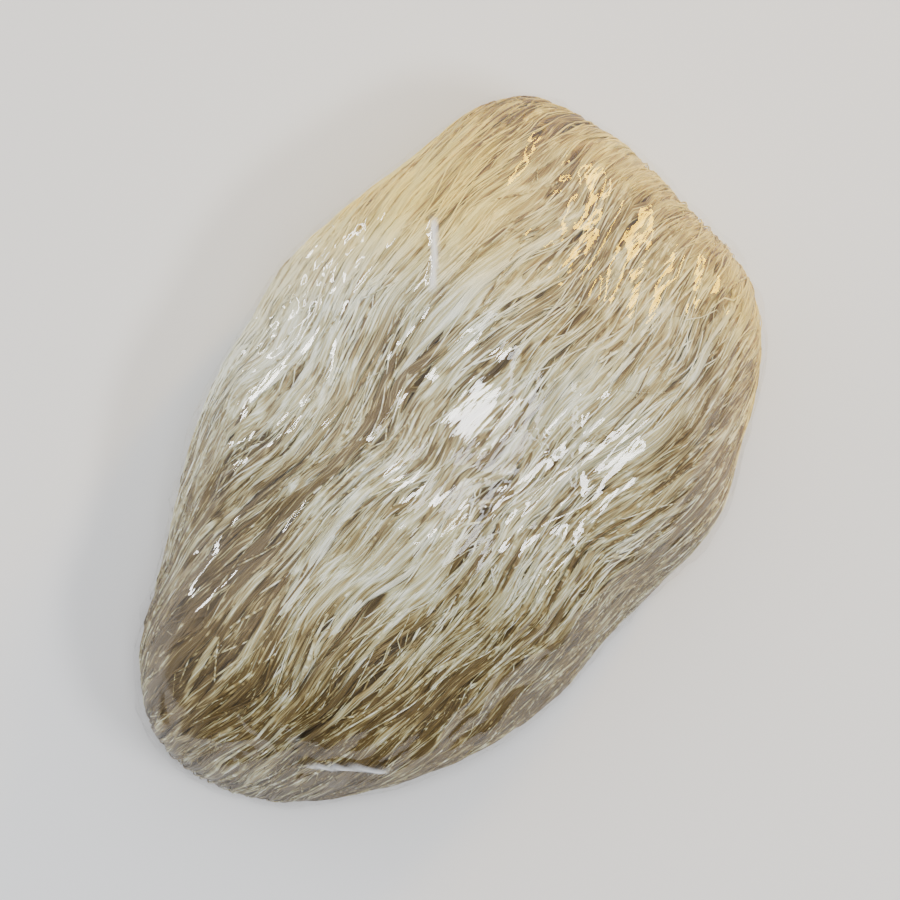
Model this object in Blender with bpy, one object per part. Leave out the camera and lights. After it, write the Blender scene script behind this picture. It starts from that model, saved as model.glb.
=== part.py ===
"""One edible bird's nest, lying hollow side down, wrapped in a sheet of clear film.

The nest is a half cup of hardened strands that run along it, from the narrow foot at -X to the broad
end at +X. Nest and film are both read from one envelope. A point of it has a bearing, the angle round
the middle of the nest, and a course, its place down the section at that bearing: 0 is the crown,
1 the widest line, 2 the outer edge of the foot of the rim, 3 the mouth of the hollow, and 4 the top
of the hollow. Lengths are in millimetres until each piece is finished.
"""

import math

import bmesh
import bpy
from mathutils import Vector, noise

MM = 0.001

# Distance from the middle to the edge, at equal steps from the broad end, counter-clockwise.
OUTLINE_STEP = 15
OUTLINE = [
    45.8, 47.2, 46.4, 38.8, 34.2, 31.2, 28.4, 27.9, 28.2, 29.6, 33.8, 41.0,
    45.0, 43.2, 38.1, 33.6, 30.9, 29.7, 29.0, 30.2, 33.4, 37.4, 43.0, 46.0,
]

CROWN_HEIGHT = 29.5
CROWN_TILT = 0.0022
CROWN_FULLNESS = 0.86
WIDEST_HEIGHT = 6.0

RIM_UNDERCUT = 3.4
RIM_FLAT = 2.2
RIM_ROUND = 2.2
RIM_LIFT = 1.2
RIM_LIFT_COUNT = 3
RIM_LIFT_TURN = 0.7
MOUTH_HEIGHT = 3.0
FOOT_MOUTH = 18.5
ROOF_WALL = 7.0
HOLLOW_FULLNESS = 0.8

LUMP_SIZE = 19.0
LUMP_DEPTH = 1.5

SEAM_COURSE = 1.6
ROWS = 54
STATIONS = 28
GAP_RUN = 3.1
OUTER_GAP_DEPTH = 2.6
LINING_GAP_DEPTH = 1.2
STRAND_DIP = 0.12

FILM_CLEARANCE = 0.5
FILM_WALL = 0.5
FILM_COLUMNS = 56
FILM_CROWDING = 0.2
FILM_COURSES = [
    0.0, 0.1, 0.22, 0.4, 0.56, 0.7, 0.82, 0.93, 1.1, 1.37, 1.67, 2.0, 2.4, 2.53, 2.66, 2.82, 3.0,
]
FILM_THICKNESS = FILM_CLEARANCE + FILM_WALL

STRAND_COLOUR = (0.60, 0.51, 0.36, 1.0)
FILM_COLOUR = (0.86, 0.90, 0.94, 0.25)


def clear_scene():
    """Removes whatever the scene holds."""
    for obj in list(bpy.data.objects):
        bpy.data.objects.remove(obj)


def smooth(value, low, high):
    """0 below low, 1 above high, and an even rise between them."""
    share = min(1.0, max(0.0, (value - low) / (high - low)))
    return share * share * (3 - 2 * share)


def edge_distance(bearing):
    """The outline's distance from the middle, on a smooth curve through the OUTLINE values."""
    place = math.degrees(bearing) % 360 / OUTLINE_STEP
    first = int(place)
    t = place - first
    a, b, c, d = (OUTLINE[(first + k) % len(OUTLINE)] for k in (-1, 0, 1, 2))
    return b + 0.5 * t * (c - a + t * (2 * a - 5 * b + 4 * c - d + t * (3 * (b - c) + d - a)))


def dome_section(edge, turn):
    """(distance, height) from the crown at turn 0 to the widest line at a quarter turn."""
    rise = CROWN_HEIGHT - WIDEST_HEIGHT
    return (
        edge * math.sin(turn) ** CROWN_FULLNESS,
        WIDEST_HEIGHT + rise * math.cos(turn) ** CROWN_FULLNESS,
    )


def mouth_distance(bearing, edge):
    """The mouth of the hollow. It follows the rim, but stops short of the solid foot at -X."""
    foot = smooth(-math.cos(bearing), -0.1, 0.6)
    rim = edge - RIM_UNDERCUT - RIM_FLAT - RIM_ROUND
    return rim + (FOOT_MOUTH - rim) * foot


def rim_section(bearing, edge, inward):
    """(distance, height) across the foot of the rim, from its outer edge to the mouth of the hollow."""
    flat_share = 0.4
    flat_start = edge - RIM_UNDERCUT
    flat_end = flat_start - RIM_FLAT
    if inward < flat_share:
        return flat_start - RIM_FLAT * inward / flat_share, 0.0
    turn = math.pi / 2 * (inward - flat_share) / (1 - flat_share)
    reach = flat_end - mouth_distance(bearing, edge)
    return flat_end - reach * math.sin(turn), MOUTH_HEIGHT * (1 - math.cos(turn))


def hollow_section(bearing, edge, turn):
    """(distance, height) up the wall of the hollow, from its mouth to its top."""
    rise = CROWN_HEIGHT - ROOF_WALL - MOUTH_HEIGHT
    return (
        mouth_distance(bearing, edge) * max(0.0, math.cos(turn)) ** HOLLOW_FULLNESS,
        MOUTH_HEIGHT + rise * math.sin(turn) ** HOLLOW_FULLNESS,
    )


def section(bearing, course):
    """(distance from the middle, height) of the plain envelope."""
    edge = edge_distance(bearing)
    part = min(3, int(course))
    turn = math.pi / 2 * (course - part)
    if part == 0:
        return dome_section(edge, turn)
    if part == 1:
        return edge - RIM_UNDERCUT * (1 - math.cos(turn)), WIDEST_HEIGHT * (1 - math.sin(turn))
    if part == 2:
        return rim_section(bearing, edge, course - part)
    return hollow_section(bearing, edge, turn)


def envelope(bearing, course):
    """A point of the envelope, with its lumps, its tilt, and a rim that lifts between flat stretches."""
    distance, height = section(bearing, course)
    x = distance * math.cos(bearing)
    y = distance * math.sin(bearing)
    height *= 1 + CROWN_TILT * x
    body = smooth(height, 1.0, 12.0)
    wave = math.cos(RIM_LIFT_COUNT * bearing + RIM_LIFT_TURN)
    height += RIM_LIFT * smooth(wave, 0.2, 1.0) * (1 - body)
    lump = LUMP_DEPTH * body * noise.noise(Vector((x, y, height)) / LUMP_SIZE)
    spread = 1 + lump / CROWN_HEIGHT
    return Vector((x * spread, y * spread, height + lump + FILM_THICKNESS))


def outward(bearing, course):
    """The envelope's outward direction at a point."""
    step = 0.01
    if course < step:
        return Vector((0, 0, 1))
    if course > 4 - step:
        return Vector((0, 0, -1))
    down = envelope(bearing, course + step) - envelope(bearing, course - step)
    around = envelope(bearing + step, course) - envelope(bearing - step, course)
    return down.cross(around).normalized()


def course_at(bearing, first, last, share):
    """The course that lies this share of the way along the section from first to last."""
    samples = 48
    courses = [first + (last - first) * k / samples for k in range(samples + 1)]
    points = [section(bearing, course) for course in courses]
    lengths = [math.dist(a, b) for a, b in zip(points, points[1:])]
    left = share * sum(lengths)
    for k, length in enumerate(lengths):
        if left <= length:
            return courses[k] + (courses[k + 1] - courses[k]) * left / length
        left -= length
    return last


def disc_place(along, across):
    """(bearing, share of the way out) on a round disc, of a place in the square from -1 to 1."""
    x = along * math.sqrt(1 - across * across / 2)
    y = across * math.sqrt(1 - along * along / 2)
    return math.atan2(y, x), min(1.0, math.hypot(x, y))


def gap_depth(along, row, depth):
    """How deep the surface lies on a row. Every second row opens into gaps and closes again."""
    if row % 2 == 0:
        return STRAND_DIP * depth * (1 + noise.noise(Vector((along * 4, row * 1.7, 9.0))))
    opening = 0.22 + noise.noise(Vector((along * GAP_RUN, row * 2.3, 0.5)))
    return depth * smooth(opening, 0.0, 0.55)


def add_strand_grid(mesh, middle_course, depth):
    """Lays a grid over the envelope from middle_course out to the seam, and sinks the gaps into it."""
    grid = bmesh.ops.create_grid(mesh, x_segments=STATIONS, y_segments=ROWS, size=1)
    for vert in grid["verts"]:
        along, across = vert.co.x, vert.co.y
        row = round((across + 1) / 2 * ROWS)
        bearing, out = disc_place(along, across)
        course = course_at(bearing, middle_course, SEAM_COURSE, out)
        inward = gap_depth(along, row, depth) * (1 - smooth(out, 0.86, 0.97))
        vert.co = envelope(bearing, course) - outward(bearing, course) * inward


def make_nest():
    """The nest: an outer grid and a lining grid, joined all round under the rim."""
    mesh = bmesh.new()
    add_strand_grid(mesh, 0.0, OUTER_GAP_DEPTH)
    add_strand_grid(mesh, 4.0, LINING_GAP_DEPTH)
    bmesh.ops.remove_doubles(mesh, verts=mesh.verts, dist=0.02)
    return finish("nest", mesh, STRAND_COLOUR, roughness=0.45)


def add_film_face(mesh, offset):
    """One face of the film: rings of points round the envelope, from the crown to the free edge."""
    rings = len(FILM_COURSES)
    ball = bmesh.ops.create_uvsphere(mesh, u_segments=FILM_COLUMNS, v_segments=rings, radius=1)
    pole = [vert for vert in ball["verts"] if vert.co.z < -0.9999]
    bmesh.ops.delete(mesh, geom=pole, context="VERTS")
    for vert in ball["verts"]:
        if not vert.is_valid:
            continue
        ring = round(math.acos(min(1.0, vert.co.z)) / math.pi * rings)
        turn = math.atan2(vert.co.y, vert.co.x)
        bearing = turn - FILM_CROWDING * math.sin(2 * turn)
        course = FILM_COURSES[ring]
        vert.co = envelope(bearing, course) + outward(bearing, course) * offset


def make_film():
    """The film: an inner and an outer face, joined along the free edge at the mouth of the hollow."""
    mesh = bmesh.new()
    add_film_face(mesh, FILM_CLEARANCE)
    add_film_face(mesh, FILM_THICKNESS)
    free_edges = [edge for edge in mesh.edges if edge.is_boundary]
    bmesh.ops.bridge_loops(mesh, edges=free_edges)
    return finish("film_wrap", mesh, FILM_COLOUR, roughness=0.08)


def make_material(name, colour, roughness):
    """A plain shiny material of that colour."""
    material = bpy.data.materials.new(name)
    material.use_nodes = True
    shader = material.node_tree.nodes["Principled BSDF"]
    shader.inputs["Base Color"].default_value = colour
    shader.inputs["Roughness"].default_value = roughness
    shader.inputs["Metallic"].default_value = 0.0
    shader.inputs["Alpha"].default_value = colour[3]
    return material


def finish(name, mesh, colour, roughness):
    """Puts the mesh in an object of that name, in metres, with its material."""
    bmesh.ops.recalc_face_normals(mesh, faces=mesh.faces)
    bmesh.ops.scale(mesh, vec=(MM, MM, MM), verts=mesh.verts)
    bmesh.ops.triangulate(mesh, faces=mesh.faces)
    data = bpy.data.meshes.new(name)
    mesh.to_mesh(data)
    mesh.free()
    data.shade_smooth()
    data.materials.append(make_material(name, colour, roughness))
    obj = bpy.data.objects.new(name, data)
    bpy.context.scene.collection.objects.link(obj)
    return obj


def centre_on_base(objects):
    """Moves the meshes so that the middle of their underside, at the height they rest on, is the origin."""
    points = [vert.co for obj in objects for vert in obj.data.vertices]
    low = Vector(min(point[axis] for point in points) for axis in range(3))
    high = Vector(max(point[axis] for point in points) for axis in range(3))
    base = Vector(((low.x + high.x) / 2, (low.y + high.y) / 2, low.z))
    for obj in objects:
        for vert in obj.data.vertices:
            vert.co -= base


def main():
    """Builds the nest and its film."""
    clear_scene()
    nest = make_nest()
    film = make_film()
    centre_on_base([nest, film])


main()
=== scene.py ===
"""Dresses one edible bird's nest, wrapped in a sheet of clear film, seen from above.

The nest is a core that follows the shared envelope, with layers of fused strands laid over it. Every
strand runs from the narrow foot at -X to the broad end at +X. Shapes are worked out in millimetres on
a flat chart, along by across, that is wrapped over the envelope, and are turned to metres at the end.
"""

import logging
import math
from dataclasses import dataclass, field
from enum import Enum

import bpy
import numpy as np
from mathutils import Matrix, Quaternion, Vector, noise


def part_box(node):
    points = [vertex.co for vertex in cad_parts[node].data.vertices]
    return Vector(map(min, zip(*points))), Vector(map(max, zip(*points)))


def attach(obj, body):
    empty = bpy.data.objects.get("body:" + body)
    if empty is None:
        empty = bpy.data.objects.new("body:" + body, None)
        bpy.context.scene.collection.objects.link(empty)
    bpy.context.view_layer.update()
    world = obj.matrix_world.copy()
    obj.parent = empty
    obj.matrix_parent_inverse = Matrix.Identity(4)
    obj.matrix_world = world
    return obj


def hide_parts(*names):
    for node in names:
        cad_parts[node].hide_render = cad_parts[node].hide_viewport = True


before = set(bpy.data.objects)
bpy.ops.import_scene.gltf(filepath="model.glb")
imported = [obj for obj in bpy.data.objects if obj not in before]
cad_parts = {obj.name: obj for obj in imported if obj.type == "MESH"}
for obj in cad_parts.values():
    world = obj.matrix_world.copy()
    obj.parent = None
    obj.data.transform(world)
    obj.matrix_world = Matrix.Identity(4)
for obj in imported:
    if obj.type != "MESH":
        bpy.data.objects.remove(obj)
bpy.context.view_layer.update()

MM = 0.001
BODY = "root"
LOG = logging.getLogger("nest")


def smooth(value: np.ndarray, low: float, high: float) -> np.ndarray:
    """Rise evenly from 0 to 1.

    Args:
        value: The values to grade.
        low: Where the rise starts.
        high: Where it ends.

    Returns:
        The share of the rise at each value.
    """
    share = np.clip((value - low) / (high - low), 0.0, 1.0)
    return share * share * (3 - 2 * share)


def unit(vectors: np.ndarray) -> np.ndarray:
    """The same directions with a length of 1."""
    length = np.linalg.norm(vectors, axis=-1, keepdims=True)
    return vectors / np.maximum(length, 1e-9)


class Waviness:
    """Seeded gradient noise on a flat field, about -1 to 1, that repeats only far away."""

    CELLS = 128
    GAIN = 1.5

    def __init__(self, seed: int) -> None:
        """Draw the lattice's directions.

        Args:
            seed: The seed of the lattice.
        """
        turn = np.random.default_rng(seed).uniform(0, 2 * math.pi, (self.CELLS, self.CELLS))
        self.slope_x = np.cos(turn)
        self.slope_y = np.sin(turn)

    def corner(self, column: np.ndarray, row: np.ndarray, dx: np.ndarray, dy: np.ndarray) -> np.ndarray:
        """One lattice point's part of the value, at an offset from it."""
        i, j = column % self.CELLS, row % self.CELLS
        return self.slope_x[i, j] * dx + self.slope_y[i, j] * dy

    def at(self, x: np.ndarray, y: np.ndarray) -> np.ndarray:
        """Read the noise.

        Args:
            x: First coordinates, in cells.
            y: Second coordinates, in cells.

        Returns:
            The value at each place.
        """
        x, y = np.broadcast_arrays(np.asarray(x, float), np.asarray(y, float))
        column, row = np.floor(x).astype(int), np.floor(y).astype(int)
        dx, dy = x - column, y - row
        ease_x = dx ** 3 * (dx * (dx * 6 - 15) + 10)
        ease_y = dy ** 3 * (dy * (dy * 6 - 15) + 10)
        low = (
            self.corner(column, row, dx, dy) * (1 - ease_x)
            + self.corner(column + 1, row, dx - 1, dy) * ease_x
        )
        high = (
            self.corner(column, row + 1, dx, dy - 1) * (1 - ease_x)
            + self.corner(column + 1, row + 1, dx - 1, dy - 1) * ease_x
        )
        return self.GAIN * (low * (1 - ease_y) + high * ease_y)


class Facets:
    """Seeded flat facets on a flat field, about -1 to 1, that meet in straight creases."""

    CELLS = 128

    def __init__(self, seed: int) -> None:
        """Draw the lattice's heights.

        Args:
            seed: The seed of the lattice.
        """
        self.heights = np.random.default_rng(seed).uniform(-1, 1, (self.CELLS, self.CELLS))

    def at(self, x: np.ndarray, y: np.ndarray) -> np.ndarray:
        """Read the facets.

        Args:
            x: First coordinates, in cells.
            y: Second coordinates, in cells.

        Returns:
            The value at each place.
        """
        column, row = np.floor(x).astype(int), np.floor(y).astype(int)
        dx, dy = x - column, y - row
        i, j = column % self.CELLS, row % self.CELLS
        next_i, next_j = (i + 1) % self.CELLS, (j + 1) % self.CELLS
        near, far = self.heights[i, j], self.heights[next_i, next_j]
        beside, above = self.heights[next_i, j], self.heights[i, next_j]
        lower = near + (beside - near) * dx + (above - near) * dy
        upper = far + (above - far) * (1 - dx) + (beside - far) * (1 - dy)
        return np.where(dx + dy < 1, lower, upper)


@dataclass(frozen=True)
class Envelope:
    """The smooth shape that nest and film share, in millimetres.

    A point has a bearing round the middle, and a course down the section: 0 is the crown, 1 the widest
    line, 2 the foot of the rim, 3 the mouth of the hollow, and 4 the top of the hollow.
    """

    outline_step: float = 15.0
    outline: tuple = (
        45.8, 47.2, 46.4, 38.8, 34.2, 31.2, 28.4, 27.9, 28.2, 29.6, 33.8, 41.0,
        45.0, 43.2, 38.1, 33.6, 30.9, 29.7, 29.0, 30.2, 33.4, 37.4, 43.0, 46.0,
    )
    crown_height: float = 29.5
    crown_tilt: float = 0.0022
    crown_fullness: float = 0.86
    widest_height: float = 6.0
    rim_undercut: float = 3.4
    rim_flat: float = 2.2
    rim_flat_share: float = 0.4
    rim_round: float = 2.2
    rim_lift: float = 1.2
    rim_lift_count: int = 3
    rim_lift_turn: float = 0.7
    mouth_height: float = 3.0
    foot_mouth: float = 18.5
    foot_bearings: tuple[float, float] = (-0.1, 0.6)
    roof_wall: float = 7.0
    hollow_fullness: float = 0.8
    lump_size: float = 19.0
    lump_depth: float = 1.5
    body_heights: tuple[float, float] = (1.0, 12.0)
    film_thickness: float = 1.0

    def edge(self, bearing: np.ndarray) -> np.ndarray:
        """The outline's distance from the middle at each bearing."""
        values = np.array(self.outline)
        place = np.degrees(bearing) % 360 / self.outline_step
        first = np.floor(place).astype(int)
        t = place - first
        a, b, c, d = (values[(first + k) % len(values)] for k in (-1, 0, 1, 2))
        return b + 0.5 * t * (c - a + t * (2 * a - 5 * b + 4 * c - d + t * (3 * (b - c) + d - a)))

    def mouth(self, bearing: np.ndarray, edge: np.ndarray) -> np.ndarray:
        """The distance to the mouth of the hollow, which stops short of the solid foot at -X."""
        foot = smooth(-np.cos(bearing), *self.foot_bearings)
        rim = edge - self.rim_undercut - self.rim_flat - self.rim_round
        return rim + (self.foot_mouth - rim) * foot

    def section(self, bearing: np.ndarray, course: np.ndarray) -> tuple[np.ndarray, np.ndarray]:
        """Follow the plain section.

        Args:
            bearing: Angles round the middle.
            course: Places down the section.

        Returns:
            Distances from the middle, and heights.
        """
        edge = self.edge(bearing)
        mouth = self.mouth(bearing, edge)
        part = np.clip(np.floor(course), 0, 3)
        sine = np.sin((course - part) * math.pi / 2)
        cosine = np.clip(np.cos((course - part) * math.pi / 2), 0, 1)
        flat_share = self.rim_flat_share
        inward = course - 2
        flat_start = edge - self.rim_undercut
        flat_end = flat_start - self.rim_flat
        rim_turn = np.clip((inward - flat_share) / (1 - flat_share), 0, 1) * math.pi / 2
        on_flat = flat_start - self.rim_flat * np.clip(inward / flat_share, 0, 1)
        rise = self.crown_height - self.widest_height
        hollow_rise = self.crown_height - self.roof_wall - self.mouth_height
        parts = [part == 0, part == 1, part == 2]
        distance = np.select(
            parts,
            [
                edge * sine ** self.crown_fullness,
                edge - self.rim_undercut * (1 - cosine),
                np.where(inward < flat_share, on_flat, flat_end - (flat_end - mouth) * np.sin(rim_turn)),
            ],
            mouth * cosine ** self.hollow_fullness,
        )
        height = np.select(
            parts,
            [
                self.widest_height + rise * cosine ** self.crown_fullness,
                self.widest_height * (1 - sine),
                self.mouth_height * (1 - np.cos(rim_turn)),
            ],
            self.mouth_height + hollow_rise * sine ** self.hollow_fullness,
        )
        return distance, height

    def points(self, bearing: np.ndarray, course: np.ndarray) -> np.ndarray:
        """Points of the envelope, with its lumps, its tilt and its lifted rim."""
        distance, height = self.section(bearing, course)
        x, y = distance * np.cos(bearing), distance * np.sin(bearing)
        height = height * (1 + self.crown_tilt * x)
        body = smooth(height, *self.body_heights)
        wave = np.cos(self.rim_lift_count * bearing + self.rim_lift_turn)
        height = height + self.rim_lift * smooth(wave, 0.2, 1.0) * (1 - body)
        places = np.stack([x, y, height], axis=-1).reshape(-1, 3) / self.lump_size
        values = np.array([noise.noise(Vector(place)) for place in places.tolist()])
        lump = self.lump_depth * body * values.reshape(x.shape)
        spread = 1 + lump / self.crown_height
        return np.stack([x * spread, y * spread, height + lump + self.film_thickness], axis=-1)


class Skin:
    """A stretch of the envelope, read by bearing and by share of the way from its middle to its edge."""

    BEARINGS = 360
    SHARES = 240
    SAMPLES = 400

    def __init__(self, shape: Envelope, first: float, last: float, shift: np.ndarray) -> None:
        """Work out the stretch's points and outward directions.

        Args:
            shape: The envelope.
            first: The course at the middle.
            last: The course at the edge.
            shift: What is added to every point, to stand it where the CAD model stands.
        """
        bearings = np.linspace(0, 2 * math.pi, self.BEARINGS + 1)
        courses = np.linspace(first, last, self.SAMPLES)
        turn, down = np.meshgrid(bearings, courses, indexing="ij")
        distance, height = shape.section(turn, down)
        steps = np.hypot(np.diff(distance, axis=1), np.diff(height, axis=1))
        run = np.concatenate([np.zeros((len(bearings), 1)), np.cumsum(steps, axis=1)], axis=1)
        shares = np.linspace(0, 1, self.SHARES + 1)
        even = np.array([np.interp(shares * row[-1], row, courses) for row in run])
        self.points = shape.points(turn[:, :1] + 0 * even, even) + shift
        self.points[-1] = self.points[0]
        around = np.roll(self.points[:-1], -1, axis=0) - np.roll(self.points[:-1], 1, axis=0)
        around = np.concatenate([around, around[:1]])
        out = np.gradient(self.points, axis=1)
        normals = unit(np.cross(out, around)) * np.sign(last - first)
        normals[:, 0] = unit(normals[:-1, 1].mean(axis=0))
        self.normals = normals

    def at(self, bearing: np.ndarray, share: np.ndarray) -> tuple[np.ndarray, np.ndarray]:
        """Read the stretch between its stored points.

        Args:
            bearing: Angles round the middle.
            share: Shares of the way from the middle to the edge.

        Returns:
            Points and outward directions.
        """
        u = bearing % (2 * math.pi) / (2 * math.pi) * self.BEARINGS
        v = np.clip(share, 0, 1) * self.SHARES
        i = np.minimum(np.floor(u).astype(int), self.BEARINGS - 1)
        j = np.minimum(np.floor(v).astype(int), self.SHARES - 1)
        s, t = (u - i)[..., None], (v - j)[..., None]
        found = []
        for table in (self.points, self.normals):
            near = table[i, j] * (1 - s) + table[i + 1, j] * s
            far = table[i, j + 1] * (1 - s) + table[i + 1, j + 1] * s
            found.append(near * (1 - t) + far * t)
        return found[0], unit(found[1])


@dataclass(frozen=True)
class Chart:
    """The flat field, along by across in millimetres, that is wrapped over a skin."""

    half_length: float = 64.0
    half_width: float = 47.0

    def grid(self, columns: int, rows: int) -> tuple[np.ndarray, np.ndarray]:
        """An even grid of places over the whole field."""
        along = np.linspace(-self.half_length, self.half_length, columns + 1)
        across = np.linspace(-self.half_width, self.half_width, rows + 1)
        return np.meshgrid(along, across, indexing="ij")

    def polar(self, along: np.ndarray, across: np.ndarray) -> tuple[np.ndarray, np.ndarray]:
        """Bearings, and shares of the way to the edge, of flat places."""
        a = np.clip(np.asarray(along) / self.half_length, -1, 1)
        b = np.clip(np.asarray(across) / self.half_width, -1, 1)
        x, y = a * np.sqrt(1 - b * b / 2), b * np.sqrt(1 - a * a / 2)
        return np.arctan2(y, x), np.minimum(np.hypot(x, y), 1.0)

    def wrap(
        self, skin: Skin, along: np.ndarray, across: np.ndarray
    ) -> tuple[np.ndarray, np.ndarray, np.ndarray]:
        """Lay flat places on a skin.

        Args:
            skin: The skin.
            along: Millimetres towards the broad end.
            across: Millimetres to the left of that.

        Returns:
            Points, outward directions, and shares of the way to the skin's edge.
        """
        bearing, share = self.polar(along, across)
        points, normals = skin.at(bearing, share)
        return points, normals, share


class Flow:
    """How the strands wander from side to side, and the slits that open between them."""

    HALF_LENGTH = (1.2, 5.0)
    HALF_WIDTH = (0.12, 0.3)
    MEAN_LENGTH = 5
    LEAST_SHARE = 0.6
    SLOPE = 0.05
    POINTEDNESS = 1.3
    FADE = 3.4
    BROAD_SWAY, BROAD_LENGTH, BROAD_WIDTH = 2.2, 25, 15
    NARROW_SWAY, NARROW_LENGTH, NARROW_WIDTH = 0.6, 10, 4

    def __init__(self, seed: int, slits: int, reach_x: float, reach_y: float) -> None:
        """Scatter the slits.

        Args:
            seed: The seed of the scatter.
            slits: How many slits there are.
            reach_x: How far from the middle they lie along the nest.
            reach_y: How far from the middle they lie across it.
        """
        rng = np.random.default_rng(seed)
        self.broad, self.narrow = Waviness(seed + 1), Waviness(seed + 2)
        self.x = rng.uniform(-reach_x, reach_x, slits)
        self.y = rng.uniform(-reach_y, reach_y, slits)
        self.half_length = rng.uniform(*self.HALF_LENGTH, slits)
        share = self.LEAST_SHARE + self.half_length / self.MEAN_LENGTH
        self.half_width = rng.uniform(*self.HALF_WIDTH, slits) * share
        self.slope = rng.normal(0, self.SLOPE, slits)

    def wander(self, along: np.ndarray, across: np.ndarray) -> np.ndarray:
        """How far the strands stand to the left of a straight line, in millimetres."""
        broad = self.broad.at(along / self.BROAD_LENGTH, across / self.BROAD_WIDTH)
        narrow = self.narrow.at(along / self.NARROW_LENGTH, across / self.NARROW_WIDTH)
        return self.BROAD_SWAY * broad + self.NARROW_SWAY * narrow

    def opening(self, along: np.ndarray, k: int) -> np.ndarray:
        """Half the width of slit k at places along the nest."""
        place = (along - self.x[k]) / self.half_length[k]
        return self.half_width[k] * np.clip(1 - place * place, 0, 1) ** self.POINTEDNESS

    def steer(self, along: np.ndarray, across: np.ndarray) -> np.ndarray:
        """Lead strands round the slits and along the wander.

        Args:
            along: Places along the nest.
            across: Straight places across it.

        Returns:
            The places across that the strands take.
        """
        moved = across.copy()
        for k in range(len(self.x)):
            offset = across - self.y[k] - self.slope[k] * (along - self.x[k])
            width = self.opening(along, k)
            fade = np.exp(-np.abs(offset) / (self.FADE * self.half_width[k]))
            moved += np.sign(offset) * width * fade
        return moved + self.wander(along, moved)

    def sunk(self, along: np.ndarray, across: np.ndarray) -> np.ndarray:
        """How deep inside a slit each place lies, from 0 outside to 1 in the middle."""
        straight = across - self.wander(along, across)
        deepest = np.zeros_like(across)
        for k in range(len(self.x)):
            near = np.abs(along - self.x[k]) < self.half_length[k]
            offset = np.abs(straight - self.y[k] - self.slope[k] * (along - self.x[k]))
            width = np.maximum(self.opening(along, k), 1e-6)
            inside = np.where(near, smooth(1.5 - offset / width, 0.0, 1.0), 0.0)
            deepest = np.maximum(deepest, inside)
        return deepest


class MeshWriter:
    """Turns arrays into finished pieces."""

    @staticmethod
    def write(
        name: str,
        points: np.ndarray,
        faces: list,
        finish: bpy.types.Material,
        values: dict[str, np.ndarray],
    ) -> bpy.types.Object:
        """Make a smooth mesh object in metres.

        Args:
            name: The piece's name.
            points: Its points, in millimetres.
            faces: Its faces, as lists of point numbers.
            finish: Its material.
            values: Its attributes, one number a point, by name.

        Returns:
            The object.
        """
        mesh = bpy.data.meshes.new(name)
        mesh.from_pydata((points.reshape(-1, 3) * MM).tolist(), [], faces)
        for key, numbers in values.items():
            layer = mesh.attributes.new(key, "FLOAT", "POINT")
            layer.data.foreach_set("value", np.ascontiguousarray(numbers.ravel(), dtype=np.float32))
        mesh.materials.append(finish)
        mesh.shade_smooth()
        mesh.update()
        piece = bpy.data.objects.new(name, mesh)
        bpy.context.scene.collection.objects.link(piece)
        LOG.info("%s: %d faces", name, len(faces))
        return piece

    @staticmethod
    def quads(columns: int, rows: int, index: np.ndarray) -> list:
        """The faces of a grid whose point numbers are given, columns by rows of them."""
        a, b = index[:columns, :rows], index[1:columns + 1, :rows]
        c, d = index[1:columns + 1, 1:rows + 1], index[:columns, 1:rows + 1]
        return np.stack([a, b, c, d], axis=-1).reshape(-1, 4).tolist()


@dataclass(frozen=True)
class StrandStyle:
    """One kind of strand, in millimetres."""

    count: int
    rings: int
    sides: int
    half_width: tuple[float, float]
    flatness: float
    length: tuple[float, float]
    depth: tuple[float, float]
    roll: float
    lean: float
    wiggle: float
    tone: tuple[float, float]
    grain: float = 0.0


class StrandKind(Enum):
    """The kinds of strand, from the thick fused bands to the hair-thin threads."""

    BAND = StrandStyle(
        count=400, rings=24, sides=6, half_width=(0.25, 0.85), flatness=0.25, length=(16, 56),
        depth=(0.02, 0.45), roll=0.25, lean=0.07, wiggle=0.4, tone=(0.28, 0.95), grain=1.0,
    )
    CORD = StrandStyle(
        count=960, rings=20, sides=5, half_width=(0.08, 0.22), flatness=0.7, length=(10, 44),
        depth=(0.0, 0.36), roll=0.2, lean=0.09, wiggle=0.4, tone=(0.2, 1.0),
    )
    THREAD = StrandStyle(
        count=1900, rings=11, sides=4, half_width=(0.045, 0.1), flatness=1.0, length=(5, 26),
        depth=(-0.12, 0.22), roll=0.15, lean=0.12, wiggle=0.4, tone=(0.5, 1.1),
    )
    WEB = StrandStyle(
        count=900, rings=8, sides=4, half_width=(0.05, 0.12), flatness=0.6, length=(2, 8),
        depth=(-0.08, 0.3), roll=0.12, lean=0.3, wiggle=0.3, tone=(0.5, 1.0),
    )
    LINING = StrandStyle(
        count=300, rings=24, sides=5, half_width=(0.2, 0.5), flatness=0.6, length=(14, 46),
        depth=(-0.1, 0.6), roll=0.3, lean=0.12, wiggle=1.0, tone=(0.3, 0.9),
    )


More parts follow.
